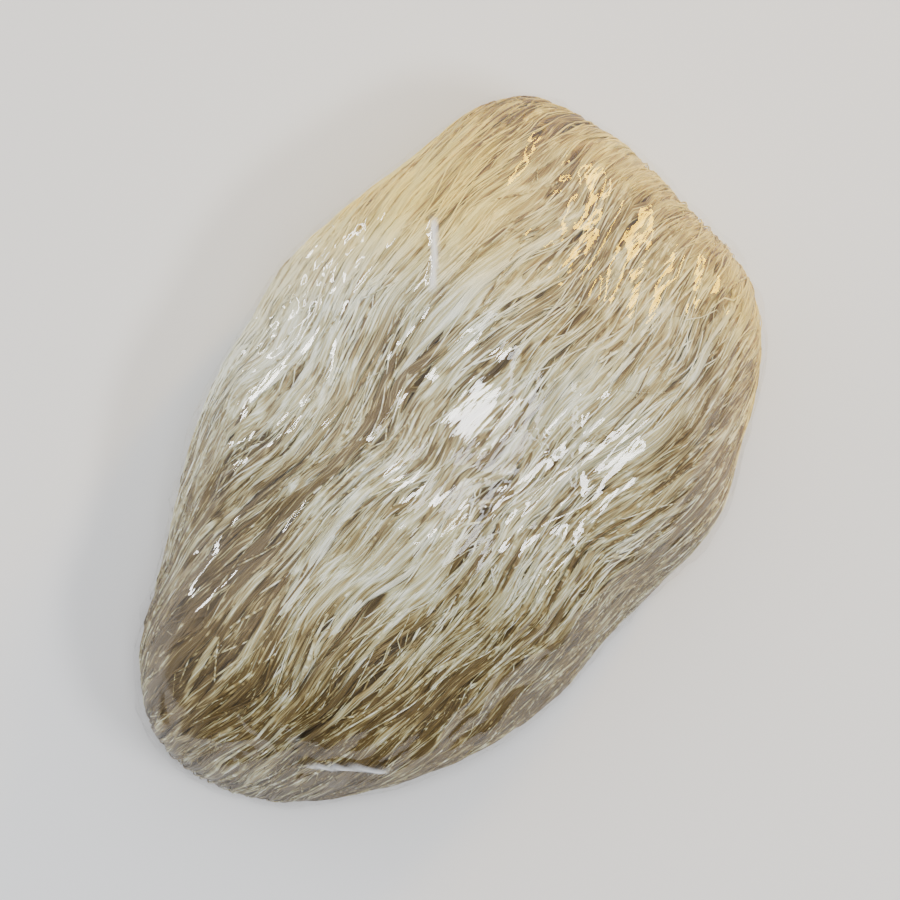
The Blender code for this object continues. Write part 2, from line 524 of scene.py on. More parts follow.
class Strands:
    """Lays the strands of one kind over a skin, as one joined mesh."""

    REACH_ALONG = 63
    REACH_ACROSS = 46.6
    END_GAP = 0.6
    SIDE_GAP = 0.3
    ROUTE_STEP = 3.17
    WIGGLE_LENGTH = 12
    ROLL_LENGTH = 6
    ROLL_PLACE = 61
    DIVE = 0.9
    DIVE_FROM = 0.78
    MOST_PROUD = 0.3
    TUCK = 0.35
    TUCK_FROM = 0.85
    SHAPE_STEP = 2.31
    LEAST_TAPER = 0.06
    SWELL, SWELL_LENGTH, SWELL_PLACE = 0.35, 5, 17
    TWIST, TWIST_LENGTH, TWIST_PLACE = 0.5, 12, 33
    TONE_SWAY, TONE_LENGTH, TONE_PLACE = 0.16, 7, 5
    # Painted shade: how much darker a strand is made for each millimetre it lies deeper.
    DEPTH_PAINTED_SHADE = 0.35

    def __init__(self, kind: StrandKind, seed: int) -> None:
        """Keep the kind and seed its draws.

        Args:
            kind: The kind of strand.
            seed: The seed of its draws.
        """
        self.style = kind.value
        self.rng = np.random.default_rng(seed)
        self.wave = Waviness(seed + 50)

    def routes(self, chart: Chart, flow: Flow) -> tuple[np.ndarray, np.ndarray, np.ndarray, np.ndarray]:
        """Draw the strands' flat routes.

        Args:
            chart: The flat field.
            flow: How strands wander and part.

        Returns:
            Places along, straight places across, places across and depths, a row for each strand.
        """
        style, rng = self.style, self.rng
        length = rng.uniform(*style.length, style.count)
        reach = chart.half_length - self.END_GAP - length / 2
        middle = rng.uniform(-self.REACH_ALONG, self.REACH_ALONG, style.count)
        middle = np.clip(middle, -reach, reach)
        number = np.arange(style.count)[:, None] * self.ROUTE_STEP
        t = np.linspace(-0.5, 0.5, style.rings)[None, :]
        along = middle[:, None] + length[:, None] * t
        straight = rng.uniform(-self.REACH_ACROSS, self.REACH_ACROSS, style.count)[:, None]
        straight = straight + rng.normal(0, style.lean, style.count)[:, None] * (along - middle[:, None])
        straight = straight + style.wiggle * self.wave.at(along / self.WIGGLE_LENGTH, number)
        side = chart.half_width - self.SIDE_GAP
        across = np.clip(flow.steer(along, straight), -side, side)
        depth = rng.uniform(*style.depth, style.count)[:, None]
        depth = depth + style.roll * self.wave.at(along / self.ROLL_LENGTH, number + self.ROLL_PLACE)
        dive = smooth(np.abs(t) * 2, self.DIVE_FROM, 1.0)
        return along, straight, across, depth + self.DIVE * dive

    def build(
        self, name: str, chart: Chart, skin: Skin, flow: Flow, finish: bpy.types.Material, least: float
    ) -> bpy.types.Object:
        """Sweep every strand along its route.

        Args:
            name: The piece's name.
            chart: The flat field.
            skin: The skin that the strands lie on.
            flow: How strands wander and part.
            finish: The material.
            least: The least height of any point, in millimetres.

        Returns:
            The joined strands.
        """
        style, rng = self.style, self.rng
        along, straight, across, depth = self.routes(chart, flow)
        base, normals, share = chart.wrap(skin, along, across)
        depth = np.maximum(depth, -self.MOST_PROUD + self.TUCK * smooth(share, self.TUCK_FROM, 1.0))
        path = base - normals * depth[..., None]
        heading = unit(np.gradient(path, axis=1))
        side = unit(np.cross(normals, heading))
        lift = np.cross(heading, side)
        number = np.arange(style.count)[:, None] * self.SHAPE_STEP
        width = rng.uniform(*style.half_width, style.count)[:, None]
        t = np.linspace(-1, 1, style.rings)[None, :]
        swell = 1 + self.SWELL * self.wave.at(along / self.SWELL_LENGTH, number + self.SWELL_PLACE)
        width = width * (np.clip(1 - np.abs(t) ** 5, self.LEAST_TAPER, 1) * swell)
        twist = self.TWIST * self.wave.at(along / self.TWIST_LENGTH, number + self.TWIST_PLACE)[..., None]
        turned_side = side * np.cos(twist) + lift * np.sin(twist)
        turned_lift = lift * np.cos(twist) - side * np.sin(twist)
        angle = np.arange(style.sides) / style.sides * 2 * math.pi
        ring = (
            path[:, :, None]
            + turned_side[:, :, None] * (width[..., None] * np.cos(angle))[..., None]
            + turned_lift[:, :, None] * (width[..., None] * style.flatness * np.sin(angle))[..., None]
        )
        ring[..., 2] = np.maximum(ring[..., 2], least)
        tone = rng.uniform(*style.tone, style.count)[:, None]
        tone = tone + self.TONE_SWAY * self.wave.at(along / self.TONE_LENGTH, number + self.TONE_PLACE)
        # Painted shade: strands that lie deeper are darker, standing in for the shade between the layers.
        tone = tone - self.DEPTH_PAINTED_SHADE * np.clip(depth, -0.3, 1.2)
        tone = np.clip(np.repeat(tone[..., None], style.sides, axis=2), 0, 1)
        lane = straight[..., None] + style.grain * width[..., None] * np.cos(angle)
        run = np.repeat(along[..., None], style.sides, axis=2)
        return MeshWriter.write(name, ring, self.faces(), finish, {"tone": tone, "lane": lane, "run": run})

    def faces(self) -> list:
        """The sides and end caps of every tube."""
        style = self.style
        total = style.count * style.rings * style.sides
        index = np.arange(total).reshape(style.count, style.rings, style.sides)
        turned = np.roll(index, -1, axis=2)
        sides = np.stack([index[:, :-1], turned[:, :-1], turned[:, 1:], index[:, 1:]], axis=-1)
        starts = index[:, 0, ::-1].tolist()
        ends = index[:, -1].tolist()
        return sides.reshape(-1, 4).tolist() + starts + ends


@dataclass
class NestCore:
    """The body of the nest: its outside and its lining in one closed mesh, under the loose strands."""

    columns: int = 130
    rows: int = 276
    bed: float = 0.24
    slit_depth: float = 1.1
    ridge_depth: float = 0.34
    hair_depth: float = 0.2
    patch_depth: float = 0.22
    mean_tone: float = 0.55
    ridge_tone: float = 0.18
    hair_tone: float = 0.16
    patch_tone: float = 0.1
    # Painted shade in the slits: how much darker they are made.
    slit_painted_shade: float = 0.52
    ridge_cell: tuple[float, float] = (22, 1.25)
    hair_cell: tuple[float, float] = (14, 0.75)
    patch_cell: tuple[float, float] = (13, 6)
    plain_from: float = 0.9
    ridges: Waviness = field(default_factory=lambda: Waviness(301))
    hairs: Waviness = field(default_factory=lambda: Waviness(302))
    mottle: Waviness = field(default_factory=lambda: Waviness(303))

    def relief(self, flow: Flow, along: np.ndarray, across: np.ndarray) -> tuple[np.ndarray, np.ndarray]:
        """Work out the ridges and slits of one side.

        Args:
            flow: How strands wander and part.
            along: Places along the nest.
            across: Places across it.

        Returns:
            Depths below the skin, and tones from 0, dark, to 1, pale.
        """
        straight = across - flow.wander(along, across)
        ridge = self.ridges.at(along / self.ridge_cell[0], straight / self.ridge_cell[1])
        hair = self.hairs.at(along / self.hair_cell[0], straight / self.hair_cell[1])
        patch = self.mottle.at(along / self.patch_cell[0], straight / self.patch_cell[1])
        sunk = flow.sunk(along, across)
        depth = self.bed - self.ridge_depth * ridge - self.hair_depth * hair
        depth = depth + self.patch_depth * patch + self.slit_depth * sunk
        tone = self.mean_tone + self.ridge_tone * ridge + self.hair_tone * hair
        # Painted shade: the slits are darkened in colour as well as sunk.
        tone = tone - self.patch_tone * patch - self.slit_painted_shade * sunk
        return depth, np.clip(tone, 0, 1)

    def build(
        self,
        chart: Chart,
        outside: Skin,
        inside: Skin,
        flow: Flow,
        inner_flow: Flow,
        finish: bpy.types.Material,
    ) -> bpy.types.Object:
        """Join the two sides round the rim.

        Args:
            chart: The flat field.
            outside: The outer skin.
            inside: The skin of the hollow.
            flow: The outer strands' flow.
            inner_flow: The lining strands' flow.
            finish: The material.

        Returns:
            The core.
        """
        along, across = chart.grid(self.columns, self.rows)
        points, tones, lanes = [], [], []
        for skin, lead in ((outside, flow), (inside, inner_flow)):
            base, normals, share = chart.wrap(skin, along, across)
            depth, tone = self.relief(lead, along, across)
            depth = depth * (1 - smooth(share, self.plain_from, 1.0))
            points.append(base - normals * depth[..., None])
            tones.append(tone)
            lanes.append(across - lead.wander(along, across))
        count = along.size
        outer = np.arange(count).reshape(along.shape)
        inner = outer + count
        rim = np.zeros(along.shape, bool)
        rim[[0, -1], :] = True
        rim[:, [0, -1]] = True
        inner = np.where(rim, outer, inner)
        faces = MeshWriter.quads(self.columns, self.rows, outer)
        faces += [face[::-1] for face in MeshWriter.quads(self.columns, self.rows, inner)]
        used = np.unique(np.concatenate([outer.ravel(), inner.ravel()]))
        renumber = np.zeros(count * 2, int)
        renumber[used] = np.arange(len(used))
        faces = renumber[np.array(faces)].tolist()
        cloud = np.concatenate([part.reshape(-1, 3) for part in points])[used]
        sides = {"tone": tones, "lane": lanes, "run": [along, along]}
        values = {
            key: np.concatenate([part.ravel() for part in parts])[used] for key, parts in sides.items()
        }
        return MeshWriter.write("nest_core", cloud, faces, finish, values)


@dataclass(frozen=True)
class FoldPatch:
    """A group of straight folds in the film, in millimetres on the chart."""

    BEND = 0.018
    BODY_GAIN = 1.5

    count: int
    middle: tuple[float, float]
    reach: tuple[float, float]
    turn: tuple[float, float]
    half_length: tuple[float, float]
    height: tuple[float, float]
    half_width: tuple[float, float]

    def rise(self, rng: np.random.Generator, along: np.ndarray, across: np.ndarray) -> np.ndarray:
        """The folds' greatest height at each place.

        Args:
            rng: The source of the folds' places and sizes.
            along: Places along the nest.
            across: Places across it.

        Returns:
            Heights in millimetres.
        """
        highest = np.zeros_like(along)
        for _ in range(self.count):
            dx = along - self.middle[0] - rng.uniform(-1, 1) * self.reach[0]
            dy = across - self.middle[1] - rng.uniform(-1, 1) * self.reach[1]
            turn = rng.normal(*self.turn)
            u = dx * math.cos(turn) + dy * math.sin(turn)
            v = dy * math.cos(turn) - dx * math.sin(turn)
            v = v + self.BEND * rng.normal() * u * u
            body = np.clip(1 - (u / rng.uniform(*self.half_length)) ** 2, 0, 1)
            side = np.clip(1 - np.abs(v) / rng.uniform(*self.half_width), 0, 1)
            height = rng.uniform(*self.height) * np.minimum(side, self.BODY_GAIN * body)
            highest = np.maximum(highest, height)
        return highest


@dataclass
class FilmWrap:
    """The sheet of clear film: drawn over the nest, creased, and tucked under its rim."""

    columns: int = 300
    rows: int = 296
    rest: float = 0.6
    least: float = 0.05
    flat_width: float = 0.112
    flat_length: float = 0.15
    seed: int = 77
    chart: Chart = Chart(73.0, 56.0)
    blob_middle: tuple[float, float] = (6.5, 1)
    blob_reach: tuple[float, float] = (3.2, 7.0)
    calm_middle: tuple[float, float] = (14, -13)
    calm_reach: tuple[float, float] = (13, 9)
    bend: float = 0.7
    hug_height: float = 0.22
    long_height: float = 0.2
    stroke_height: float = 0.34
    stroke_turn: tuple[float, float] = (0.955, 0.296)
    cross_height: float = 0.13
    cross_turn: tuple[float, float] = (0.88, 0.48)
    crowded_height: float = 0.1
    shoulder_height: float = 0.12
    heights: tuple[float, float] = (-0.25, 0.9)
    # Each group: count, middle, reach, turn, half length, height, half width.
    creases: tuple = (
        FoldPatch(1, (19.3, 14), (0, 0), (0.58, 0.0), (5.5, 5.5), (0.42, 0.42), (0.75, 0.75)),
        FoldPatch(1, (-31, -12), (0, 0), (-1.35, 0.0), (4.5, 4.5), (0.42, 0.42), (0.85, 0.85)),
    )
    patches: tuple = (
        FoldPatch(1, (13.5, 3.5), (0, 0), (-0.05, 0.0), (5, 5), (0.4, 0.4), (0.6, 0.6)),
        FoldPatch(30, (13, -14), (12, 9), (-0.04, 0.1), (2, 6), (0.1, 0.28), (0.4, 0.8)),
        FoldPatch(60, (-1, 30), (10, 4), (0.4, 0.7), (0.8, 2.2), (0.2, 0.38), (0.35, 0.6)),
        FoldPatch(60, (15, 25), (10, 4), (0.4, 0.7), (0.8, 2.2), (0.2, 0.38), (0.35, 0.6)),
        FoldPatch(26, (32, -2), (9, 16), (0.3, 0.15), (2, 5), (0.12, 0.3), (0.35, 0.6)),
        FoldPatch(24, (37, 14), (5, 7), (0.3, 0.3), (1.5, 3.5), (0.2, 0.4), (0.4, 0.65)),
        FoldPatch(18, (38, -13), (4, 6), (0.3, 0.3), (1, 3), (0.2, 0.4), (0.4, 0.65)),
        FoldPatch(80, (-6, 0), (50, 40), (0.1, 0.7), (2, 7), (0.1, 0.32), (0.4, 0.8)),
        FoldPatch(50, (-42, 0), (12, 22), (0.0, 0.9), (1.5, 4), (0.15, 0.4), (0.4, 0.7)),
    )
    pull: Waviness = field(default_factory=lambda: Waviness(71))
    patch: Waviness = field(default_factory=lambda: Waviness(72))
    long_facets: Facets = field(default_factory=lambda: Facets(73))
    end_facets: Facets = field(default_factory=lambda: Facets(76))
    cross_facets: Facets = field(default_factory=lambda: Facets(74))
    small_facets: Facets = field(default_factory=lambda: Facets(75))

    @staticmethod
    def turned(
        along: np.ndarray, across: np.ndarray, turn: tuple[float, float]
    ) -> tuple[np.ndarray, np.ndarray]:
        """Flat places on axes that are turned by an angle, given as its cosine and sine."""
        cosine, sine = turn
        return along * cosine + across * sine, across * cosine - along * sine

    def strips(
        self, along: np.ndarray, across: np.ndarray, straight: np.ndarray, bend: np.ndarray
    ) -> np.ndarray:
        """Work out the long facets: with the strands, and as slanting strokes at the broad end.

        Args:
            along: Places along the nest.
            across: Places across it.
            straight: Places across it that follow the strands.
            bend: How far the facets are led off their course.

        Returns:
            Heights in millimetres.
        """
        share = smooth(along, 20, 28)
        strands = self.long_height * self.long_facets.at(along / 6.5 + bend, straight / 1.25 + 0.8 * bend)
        u, v = self.turned(along, across, self.stroke_turn)
        strokes = self.stroke_height * self.end_facets.at(u / 7.5, v / 1.3 + 0.5 * bend)
        return strands * (1 - share) + strokes * share

    def drape(
        self,
        straight: np.ndarray,
        along: np.ndarray,
        across: np.ndarray,
        share: np.ndarray,
        blob: np.ndarray,
    ) -> np.ndarray:
        """Work out how the film lies between its folds.

        Args:
            straight: Places across the nest that follow the strands.
            along: Places along it.
            across: Places across it.
            share: Shares of the way from the crown to the film's free edge.
            blob: How far each place belongs to the tight, even patch near the middle.

        Returns:
            Heights in millimetres.
        """
        bend = self.bend * self.pull.at(along / 14, straight / 6)
        hug = self.hug_height * self.pull.at(along / 17, straight / 5) * (1 - 0.9 * blob)
        lengthwise = self.strips(along, across, straight, bend)
        u, v = self.turned(along, across, self.cross_turn)
        crosswise = self.cross_height * self.cross_facets.at(u / 3.4 + bend, v / 2.1 - bend)
        from_x = (along - self.calm_middle[0]) / self.calm_reach[0]
        from_y = (across - self.calm_middle[1]) / self.calm_reach[1]
        calm = np.exp(-from_x ** 2 - from_y ** 2)
        crowded = smooth(self.patch.at(along / 15, across / 11), -0.1, 0.5)
        crowded = np.maximum(crowded, smooth(share, 0.42, 0.62))
        tiny = self.small_facets.at(along / 2.2 + bend, straight / 0.95 + bend)
        shoulder = smooth(share, 0.36, 0.5)
        height = hug + (1 - 0.87 * blob) * (1 - 0.35 * calm) * lengthwise
        calm = np.maximum(calm, 0.7 * smooth(along, 26, 32))
        height = height + (1 - 0.94 * blob) * (1 - 0.85 * calm) * crosswise
        tiny_height = self.crowded_height * crowded * (1 - blob) + self.shoulder_height * shoulder
        return height + tiny_height * (1 - 0.9 * calm) * tiny

    @staticmethod
    def highest(
        groups: tuple, rng: np.random.Generator, along: np.ndarray, across: np.ndarray
    ) -> np.ndarray:
        """The greatest height of any fold in the groups, at each place."""
        folds = np.zeros_like(along)
        for group in groups:
            folds = np.maximum(folds, group.rise(rng, along, across))
        return folds

    def relief(
        self, flow: Flow, along: np.ndarray, across: np.ndarray, share: np.ndarray
    ) -> tuple[np.ndarray, np.ndarray]:
        """Work out how far the film stands above its resting place.

        Args:
            flow: The strands' flow, which the film's facets follow.
            along: Places along the nest.
            across: Places across it.
            share: Shares of the way from the crown to the film's free edge.

        Returns:
            Heights in millimetres, and how much of each place is the ridge of a sharp crease.
        """
        rng = np.random.default_rng(self.seed)
        straight = across - flow.wander(along, across)
        from_blob = np.hypot(along - self.blob_middle[0], across - self.blob_middle[1])
        blob = 1 - smooth(from_blob, *self.blob_reach)
        height = self.drape(straight, along, across, share, blob)
        folds = self.highest(self.patches, rng, along, across)
        height = height + folds * (1 - 0.4 * smooth(share, 0.55, 0.8)) * (1 - 0.97 * blob)
        height = np.clip(height * (1 - 0.6 * smooth(share, 0.78, 0.88)), *self.heights)
        crease = self.highest(self.creases, rng, along, across)
        height = height * (1 - 0.8 * smooth(crease, 0.0, 0.2)) + crease
        return height, smooth(crease, 0.14, 0.4)

    def build(self, skin: Skin, flow: Flow, finish: bpy.types.Material) -> bpy.types.Object:
        """Draw the film over the nest.

        Args:
            skin: The envelope from the crown to the film's free edge.
            flow: The strands' flow, which the film's facets follow.
            finish: The material.

        Returns:
            The film.
        """
        along, across = self.chart.grid(self.columns, self.rows)
        base, normals, share = self.chart.wrap(skin, along, across)
        height, ridge = self.relief(flow, along, across, share)
        points = base + normals * (self.rest + height)[..., None]
        points[..., 2] = np.maximum(points[..., 2], self.least)
        index = np.arange(along.size).reshape(along.shape)
        faces = MeshWriter.quads(self.columns, self.rows, index)
        return MeshWriter.write("clear_film", points, faces, finish, {"crease": height, "ridge": ridge})


class Signal:
    """A node socket that carries a number, with operators that add Math nodes."""

    def __init__(self, graph: "Graph", socket: bpy.types.NodeSocket) -> None:
        """Keep the socket and its graph."""
        self.graph = graph
        self.socket = socket

    def math(self, operation: str, *others: object) -> "Signal":
        """Add a Math node that starts from this signal."""
        return self.graph.math(operation, self, *others)

    def __add__(self, other: object) -> "Signal":
        """This plus other."""
        return self.math("ADD", other)

    __radd__ = __add__

    def __mul__(self, other: object) -> "Signal":
        """This times other."""
        return self.math("MULTIPLY", other)

    __rmul__ = __mul__

    def __sub__(self, other: object) -> "Signal":
        """This less other."""
        return self.math("SUBTRACT", other)

    def __rsub__(self, other: object) -> "Signal":
        """Other less this."""
        return self.graph.math("SUBTRACT", other, self)

    def clamp(self) -> "Signal":
        """This, kept from 0 to 1."""
        node = self.graph.node("ShaderNodeClamp", {}, {"Value": self})
        return Signal(self.graph, node.outputs["Result"])


class Graph:
    """The node tree of one material, or of the world."""

    def __init__(self, owner: bpy.types.Material | bpy.types.World) -> None:
        """Empty the owner's node tree.

        Args:
            owner: The material or the world.
        """
        owner.use_nodes = True
        self.owner = owner
        self.tree = owner.node_tree
        self.tree.nodes.clear()

    def node(self, kind: str, settings: dict, sockets: dict) -> bpy.types.Node:
        """Add a node.

        Args:
            kind: The node's type.
            settings: Its settings, and a ramp's stops under the key stops.
            sockets: Values or links of its inputs, by name or number.

        Returns:
            The node.
        """
        node = self.tree.nodes.new(kind)
        for key, value in settings.items():
            if key == "stops":
                self.set_stops(node.color_ramp, value)
            else:
                setattr(node, key, value)
        for key, value in sockets.items():
            if isinstance(value, Signal):
                value = value.socket
            if isinstance(value, bpy.types.NodeSocket):
                self.tree.links.new(value, node.inputs[key])
            else:
                node.inputs[key].default_value = value
        return node

    @staticmethod
    def set_stops(ramp: bpy.types.ColorRamp, stops: list) -> None:
        """Give a ramp its (place, colour) stops."""
        while len(ramp.elements) < len(stops):
            ramp.elements.new(1.0)
        for element, (place, colour) in zip(ramp.elements, stops):
            element.position = place
            element.color = (*colour, 1.0)

    def math(self, operation: str, *terms: object) -> Signal:
        """Add a Math node on the terms."""
        node = self.node("ShaderNodeMath", {"operation": operation}, dict(enumerate(terms)))
        return Signal(self, node.outputs[0])

    def attribute(self, name: str) -> Signal:
        """A mesh's attribute of that name."""
        node = self.node("ShaderNodeAttribute", {"attribute_name": name}, {})
        return Signal(self, node.outputs["Fac"])

    def object_place(self, stretch: tuple[float, float, float]) -> bpy.types.NodeSocket:
        """Object coordinates, scaled by stretch."""
        place = self.node("ShaderNodeTexCoord", {}, {}).outputs["Object"]
        mapping = self.node("ShaderNodeMapping", {}, {"Vector": place, "Scale": stretch})
        return mapping.outputs["Vector"]

    def strand_place(
        self, scales: tuple[float, float], shift: Signal | float = 0.0
    ) -> bpy.types.NodeSocket:
        """Places along and across the strands, times their two scales, with a shift across."""
        run = self.attribute("run") * scales[0]
        lane = self.attribute("lane") * scales[1] + shift
        return self.node("ShaderNodeCombineXYZ", {}, {"X": run, "Y": lane}).outputs["Vector"]

    def lines(self, place: bpy.types.NodeSocket, width: float) -> Signal:
        """Thin lines that part and join, from 0 between them to 1 along them."""
        settings = {"feature": "DISTANCE_TO_EDGE", "voronoi_dimensions": "2D"}
        node = self.node("ShaderNodeTexVoronoi", settings, {"Vector": place, "Scale": 1.0})
        return (1.0 - Signal(self, node.outputs["Distance"]) * (1.0 / width)).clamp()

    def noise(self, place: bpy.types.NodeSocket, detail: float, flat: bool = False) -> Signal:
        """Noise over a place, or over a flat one, from 0 to 1."""
        settings = {"noise_dimensions": "2D" if flat else "3D"}
        sockets = {"Vector": place, "Scale": 1.0, "Detail": detail, "Roughness": 0.6}
        return Signal(self, self.node("ShaderNodeTexNoise", settings, sockets).outputs["Fac"])

    def bump(self, strength: float, distance: float, height: Signal) -> bpy.types.NodeSocket:
        """Surface directions that a height gives, at a strength and over a distance in metres."""
        sockets = {"Strength": strength, "Distance": distance, "Height": height}
        return self.node("ShaderNodeBump", {}, sockets).outputs["Normal"]

    def tint(self, share: object, first: object, second: object) -> bpy.types.NodeSocket:
        """A colour tinted with a second one by that share."""
        sockets = {"Factor": share, 6: first, 7: second}
        node = self.node("ShaderNodeMix", {"data_type": "RGBA", "blend_type": "MULTIPLY"}, sockets)
        return node.outputs[2]

    def finish(self, shader: bpy.types.NodeSocket) -> bpy.types.Material:
        """Show the shader on the surface."""
        self.node("ShaderNodeOutputMaterial", {}, {"Surface": shader})
        return self.owner


@dataclass(frozen=True)
class StrandFinish:
    """Dried, half-clear strands: ivory where thin and high, golden brown where deep, the change with depth
    being painted shade. Painted shade also darkens the foot and one flank, painted light brightens the
    top, and the golden broad end is partly its own colour and partly painted warm reflected light.
    """

    deep: tuple = (0.128, 0.083, 0.024)
    brown: tuple = (0.365, 0.28, 0.11)
    straw: tuple = (0.59, 0.563, 0.315)
    ivory: tuple = (0.94, 0.955, 0.80)
    gold_and_painted_warm_light: tuple = (1.0, 0.79, 0.24)
    stops: tuple = (0.0, 0.26, 0.55, 0.95)
    roughness: float = 0.42
    index: float = 1.5
    shine: float = 0.22
    bump_strength: float = 0.8
    bump_height: float = 0.0003
    streak_scales: tuple[float, float] = (0.065, 2.0)
    hair_scales: tuple[float, float] = (0.11, 5.0)
    bend_scales: tuple[float, float] = (0.1, 0.3)
    bend: float = 2.4
    broad_line_scales: tuple[float, float] = (0.06, 1.3)
    broad_line_width: float = 0.12
    fine_line_scales: tuple[float, float] = (0.12, 3.2)
    fine_line_width: float = 0.16
    mottle_scales: tuple[float, float, float] = (150.0, 200.0, 200.0)
    patch_scales: tuple[float, float, float] = (38.0, 55.0, 55.0)

    def material(self) -> bpy.types.Material:
        """Build the material."""
        graph = Graph(bpy.data.materials.new("nest_strands"))
        streaks = graph.noise(graph.strand_place(self.streak_scales), 2.0, flat=True)
        hairs = graph.noise(graph.strand_place(self.hair_scales), 1.0, flat=True)
        bend = (graph.noise(graph.strand_place(self.bend_scales), 0.0, flat=True) - 0.5) * self.bend
        mottle = graph.noise(graph.object_place(self.mottle_scales), 1.0)
        patches = graph.noise(graph.object_place(self.patch_scales), 0.0)
        broad_lines = graph.lines(graph.strand_place(self.broad_line_scales, bend), self.broad_line_width)
        fine_place = graph.strand_place(self.fine_line_scales, bend * 2.4)
        fine_lines = graph.lines(fine_place, self.fine_line_width)
        drawn = broad_lines * 0.4 + fine_lines * 0.34
        place = graph.node("ShaderNodeTexCoord", {}, {}).outputs["Object"]
        parts = graph.node("ShaderNodeSeparateXYZ", {}, {"Vector": place})
        x, y, z = (Signal(graph, parts.outputs[name]) for name in "XYZ")
        # Darker towards the foot: partly the foot's own browner colour, partly painted shade.
        foot = ((x + 0.006) * -34.0).clamp() * 0.66
        # Painted shade: the flank on the -Y side, away from the brighter side of the sky, is darkened.
        flank_painted_shade = ((y + 0.014) * -80.0).clamp() * 0.62
        # Painted light: the top of the dome, above 21 mm, is made paler.
        crown = ((z - 0.021) * 100.0).clamp() * 0.05
        # Golden and a little paler towards the broad end: partly the nest's own colour, partly painted
        # warm reflected light.
        golden = ((x + y * 0.35 - 0.013) * 42.0 + (patches - 0.5) * 1.6).clamp()
        tone = graph.attribute("tone") * 1.25 + (streaks - 0.5) * 0.62 + (hairs - 0.5) * 0.82
        tone = tone + (mottle - 0.5) * 0.4 + (patches - 0.5) * 0.9 + drawn - 0.33
        # Painted light on the top and painted shade on the foot and flank go into the tone here.
        tone = tone + golden * 0.06 + crown - foot - flank_painted_shade
        stops = list(zip(self.stops, (self.deep, self.brown, self.straw, self.ivory)))
        ramp = graph.node("ShaderNodeValToRGB", {"stops": stops}, {"Fac": tone.clamp()})
        colour = graph.tint(golden, ramp.outputs["Color"], (*self.gold_and_painted_warm_light, 1.0))
        relief = hairs * 0.7 + fine_lines * 0.4
        bump = graph.bump(self.bump_strength, self.bump_height, relief)
        shader = graph.node(
            "ShaderNodeBsdfPrincipled",
            {},
            {
                "Base Color": colour,
                "Roughness": (self.roughness + (mottle - 0.5) * 0.3).clamp(),
                "IOR": self.index,
                "Specular IOR Level": self.shine,
                "Normal": bump,
            },
        )
        return graph.finish(shader.outputs["BSDF"])


@dataclass(frozen=True)
class FilmFinish:
    """Thin clear film: sharp shine, and a faint pale veil along its creases, partly the film's own
    whitening and partly painted sparkle and glint.
    """

    shine_roughness: float = 0.05
    clear: tuple = (0.985, 0.985, 0.985)
    veil: tuple = (0.92, 0.94, 0.97)
    veil_from: float = 0.4
    veil_gain: float = 0.2
    ridge_whitening_and_glint: float = 0.75
    index: float = 1.5
    gain: float = 1.4
    most_shine: float = 0.095
    ripple_scales: tuple[float, float, float] = (150.0, 700.0, 500.0)
    bump_strength: float = 0.3
    bump_height: float = 0.0003

    def material(self) -> bpy.types.Material:
        """Build the material."""
        graph = Graph(bpy.data.materials.new("clear_film"))
        ripple = graph.noise(graph.object_place(self.ripple_scales), 2.0)
        normal = graph.bump(self.bump_strength, self.bump_height, ripple)
        fresnel = graph.node("ShaderNodeFresnel", {}, {"IOR": self.index, "Normal": normal})
        # Pale veil on raised folds, partly the crumpled film's own whitening and partly painted sparkle;
        # whiter along the sharp crease ridges, partly whitening and partly a painted glint.
        raised = (graph.attribute("crease") - self.veil_from).clamp() * self.veil_gain
        crease = raised + graph.attribute("ridge") * self.ridge_whitening_and_glint
        clear = graph.node("ShaderNodeBsdfTransparent", {}, {"Color": (*self.clear, 1.0)})
        veil = graph.node(
            "ShaderNodeBsdfDiffuse", {}, {"Color": (*self.veil, 1.0), "Roughness": 0.0, "Normal": normal}
        )
        hazy = graph.node(
            "ShaderNodeMixShader", {}, {0: crease.clamp(), 1: clear.outputs[0], 2: veil.outputs[0]}
        )
        shine = graph.node(
            "ShaderNodeBsdfGlossy",
            {"distribution": "GGX"},
            {"Color": (1.0, 1.0, 1.0, 1.0), "Roughness": self.shine_roughness, "Normal": normal},
        )
        share = (Signal(graph, fresnel.outputs[0]) * self.gain).math("MINIMUM", self.most_shine)
        mixed = graph.node("ShaderNodeMixShader", {}, {0: share, 1: hazy.outputs[0], 2: shine.outputs[0]})
        return graph.finish(mixed.outputs[0])


@dataclass(frozen=True)
class FloorFinish:
    """Plain, pale, matt floor."""

    colour: tuple = (0.80, 0.80, 0.80)
    roughness: float = 0.75
    grain: float = 0.1
    grain_scales: tuple[float, float, float] = (40.0, 40.0, 40.0)

    def material(self) -> bpy.types.Material:
        """Build the material."""
        graph = Graph(bpy.data.materials.new("pale_floor"))
        grain = graph.noise(graph.object_place(self.grain_scales), 2.0)
        roughness = self.roughness + (grain - 0.5) * self.grain
        shader = graph.node(
            "ShaderNodeBsdfPrincipled", {}, {"Base Color": (*self.colour, 1.0), "Roughness": roughness}
        )
        return graph.finish(shader.outputs["BSDF"])


@dataclass(frozen=True)
class Glint:
    """A lamp that the camera sees mirrored in the film.

    The spot is in millimetres on the chart. The reach from there to the lamp and the lamp's size are in
    metres, the shine is its radiance, and the spin turns it round the line to the spot, in radians.
    """

    name: str
    spot: tuple[float, float]
    reach: float
    size: tuple[float, float]
    shine: float
    colour: tuple[float, float, float]
    spin: float = 0.0

    def power(self) -> float:
        """The lamp's power, in watts."""
        return self.shine * math.pi * self.size[0] * self.size[1]


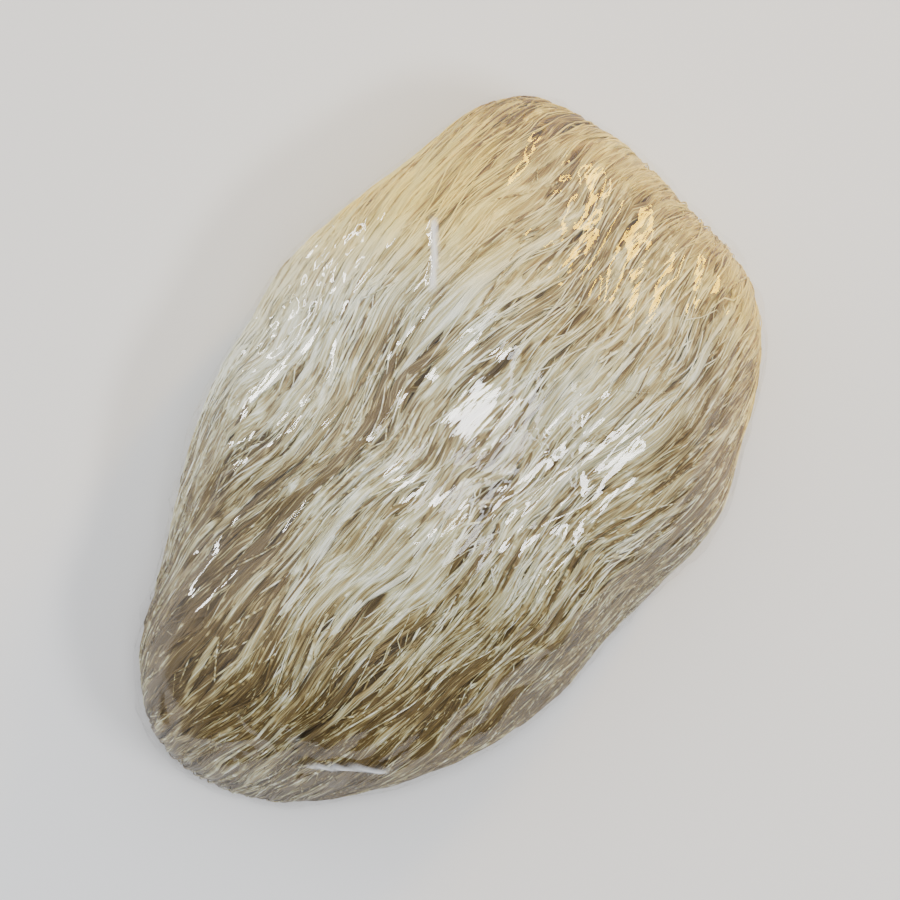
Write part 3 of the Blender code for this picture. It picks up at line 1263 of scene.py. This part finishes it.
@dataclass
class Studio:
    """The floor, the soft lights and the camera."""

    floor_half: float = 1.2
    floor_depth: float = 0.02
    distance: float = 0.405
    lens: float = 135.0
    sensor: float = 36.0
    roll: float = 47.4
    tilt: float = 7.0
    aim: tuple = (0.0035, 0.0, 0.012)
    even_light: float = 0.82
    side_light: float = 0.72
    bright_side: tuple = (0.736, 0.677, 0.0)
    sky_colour: tuple = (0.93, 0.95, 1.0)
    glints: tuple = (
        Glint("middle", (6.7, 1.2), 0.8, (0.12, 0.12), 42.0, (1.0, 1.0, 1.0)),
        Glint("haze", (-4.0, -5.5), 0.8, (0.08, 0.5), 10.0, (0.96, 0.98, 1.0), -0.7),
        Glint("right", (16.0, -12.5), 0.8, (0.26, 0.11), 36.0, (1.0, 1.0, 1.0)),
        Glint("key", (3.0, 24.0), 0.9, (0.42, 0.075), 42.0, (1.0, 0.99, 0.97)),
        Glint("end", (32.5, 5.0), 0.5, (0.06, 0.23), 40.0, (1.0, 0.58, 0.0)),
    )

    def add_floor(self) -> bpy.types.Object:
        """Lay the floor, as a thin slab.

        Returns:
            The floor.
        """
        bpy.ops.object.select_all(action="DESELECT")
        bpy.ops.mesh.primitive_plane_add(size=2 * self.floor_half, location=(0, 0, 0))
        floor = bpy.context.active_object
        floor.name = "floor"
        bpy.ops.object.mode_set(mode="EDIT")
        bpy.ops.mesh.select_all(action="SELECT")
        bpy.ops.mesh.extrude_region_move(TRANSFORM_OT_translate={"value": (0, 0, -self.floor_depth)})
        bpy.ops.mesh.select_all(action="SELECT")
        bpy.ops.mesh.normals_make_consistent(inside=False)
        bpy.ops.object.mode_set(mode="OBJECT")
        floor.data.materials.append(FloorFinish().material())
        return floor

    @staticmethod
    def add_lamp(glint: Glint, place: Vector, target: Vector) -> None:
        """Hang the soft box of a glint.

        Args:
            glint: The glint.
            place: Where the lamp hangs.
            target: Where it points.
        """
        light = bpy.data.lights.new(glint.name, "AREA")
        light.shape = "RECTANGLE"
        light.size, light.size_y = glint.size
        light.energy = glint.power()
        light.color = glint.colour
        lamp = bpy.data.objects.new(glint.name, light)
        lamp.location = place
        facing = (target - place).to_track_quat("-Z", "Y") @ Quaternion((0.0, 0.0, 1.0), glint.spin)
        lamp.rotation_euler = facing.to_euler()
        bpy.context.scene.collection.objects.link(lamp)

    def camera_place(self) -> tuple[Vector, Vector]:
        """Where the camera stands, and the direction from what it looks at back to it."""
        lean = math.radians(self.tilt)
        back = Vector((-math.sin(lean), 0.0, math.cos(lean)))
        return Vector(self.aim) + back * self.distance, back

    def sky(self) -> bpy.types.World:
        """Soft light from all round, stronger from one side.

        Returns:
            The world that gives it.
        """
        graph = Graph(bpy.data.worlds.new("studio"))
        heading = graph.node("ShaderNodeTexCoord", {}, {}).outputs["Generated"]
        sockets = {0: heading, 1: self.bright_side}
        side = graph.node("ShaderNodeVectorMath", {"operation": "DOT_PRODUCT"}, sockets)
        strength = Signal(graph, side.outputs["Value"]) * self.side_light + self.even_light
        sockets = {"Color": (*self.sky_colour, 1.0), "Strength": strength}
        light = graph.node("ShaderNodeBackground", {}, sockets)
        graph.node("ShaderNodeOutputWorld", {}, {"Surface": light.outputs["Background"]})
        return graph.owner

    def add_light(self, chart: Chart, skin: Skin) -> None:
        """Light the set softly, and hang the lamps that shine in the film.

        Args:
            chart: The flat field.
            skin: The outer skin.
        """
        bpy.context.scene.world = self.sky()
        camera, _ = self.camera_place()
        for glint in self.glints:
            point, normal, _ = chart.wrap(skin, *(np.array([value]) for value in glint.spot))
            point = Vector(point[0] * MM)
            normal = Vector(normal[0])
            view = (camera - point).normalized()
            toward = normal * (2 * normal.dot(view)) - view
            self.add_lamp(glint, point + toward * glint.reach, point)

    def add_camera(self) -> None:
        """Look down on the nest, turned so that the broad end points up and to the right."""
        camera = bpy.data.objects.new("camera", bpy.data.cameras.new("camera"))
        camera.data.lens = self.lens
        camera.data.sensor_width = self.sensor
        place, back = self.camera_place()
        turn = math.radians(-self.roll)
        right = Vector((math.cos(turn), math.sin(turn), 0.0))
        right = (right - back * right.dot(back)).normalized()
        up = back.cross(right)
        rows = Matrix((right, up, back)).transposed().to_4x4()
        camera.matrix_world = Matrix.Translation(place) @ rows
        bpy.context.scene.collection.objects.link(camera)
        bpy.context.scene.camera = camera


@dataclass
class WrappedNest:
    """The whole nest in its film."""

    shape: Envelope = field(default_factory=Envelope)
    chart: Chart = field(default_factory=Chart)
    seam_course: float = 1.6
    film_course: float = 3.1
    slits: int = 230
    slit_reach: tuple[float, float] = (58, 42)
    inner_slits: int = 40
    inner_slit_reach: tuple[float, float] = (40, 30)
    least: float = 0.7

    def shift(self) -> np.ndarray:
        """How far the envelope moves to stand where the CAD model stands, in millimetres."""
        low, high = (np.array(corner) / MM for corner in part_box("nest"))
        points = Skin(self.shape, 0.0, self.seam_course, np.zeros(3)).points
        own_low, own_high = points.min(axis=(0, 1)), points.max(axis=(0, 1))
        move = (low + high - own_low - own_high) / 2
        return np.array([move[0], move[1], 0.0])

    def dress_nest(self, piece: bpy.types.Object) -> None:
        """Put a piece of the nest in the nest's place."""
        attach(piece, BODY)
        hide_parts("nest")

    def build(self) -> Skin:
        """Build the core, the strands and the film.

        Returns:
            The nest's outer skin.
        """
        shift = self.shift()
        outside = Skin(self.shape, 0.0, self.seam_course, shift)
        inside = Skin(self.shape, 4.0, self.seam_course, shift)
        cover = Skin(self.shape, 0.0, self.film_course, shift)
        flow = Flow(11, self.slits, *self.slit_reach)
        inner_flow = Flow(12, self.inner_slits, *self.inner_slit_reach)
        finish = StrandFinish().material()
        core = NestCore()
        self.dress_nest(core.build(self.chart, outside, inside, flow, inner_flow, finish))
        layers = [
            ("strand_bands", StrandKind.BAND, 21, outside, flow),
            ("strand_cords", StrandKind.CORD, 22, outside, flow),
            ("strand_threads", StrandKind.THREAD, 23, outside, flow),
            ("strand_webs", StrandKind.WEB, 25, outside, flow),
            ("lining_strands", StrandKind.LINING, 24, inside, inner_flow),
        ]
        for name, kind, seed, skin, lead in layers:
            strands = Strands(kind, seed)
            self.dress_nest(strands.build(name, self.chart, skin, lead, finish, self.least))
        wrap = FilmWrap()
        film = wrap.build(cover, flow, FilmFinish().material())
        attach(film, BODY)
        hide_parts("film_wrap")
        return outside


def main() -> None:
    """Build the wrapped nest and the studio round it."""
    logging.basicConfig(level=logging.INFO, format="%(name)s %(message)s")
    wrapped = WrappedNest()
    outside = wrapped.build()
    studio = Studio()
    studio.add_floor()
    studio.add_light(wrapped.chart, outside)
    studio.add_camera()


if __name__ == "__main__":
    main()
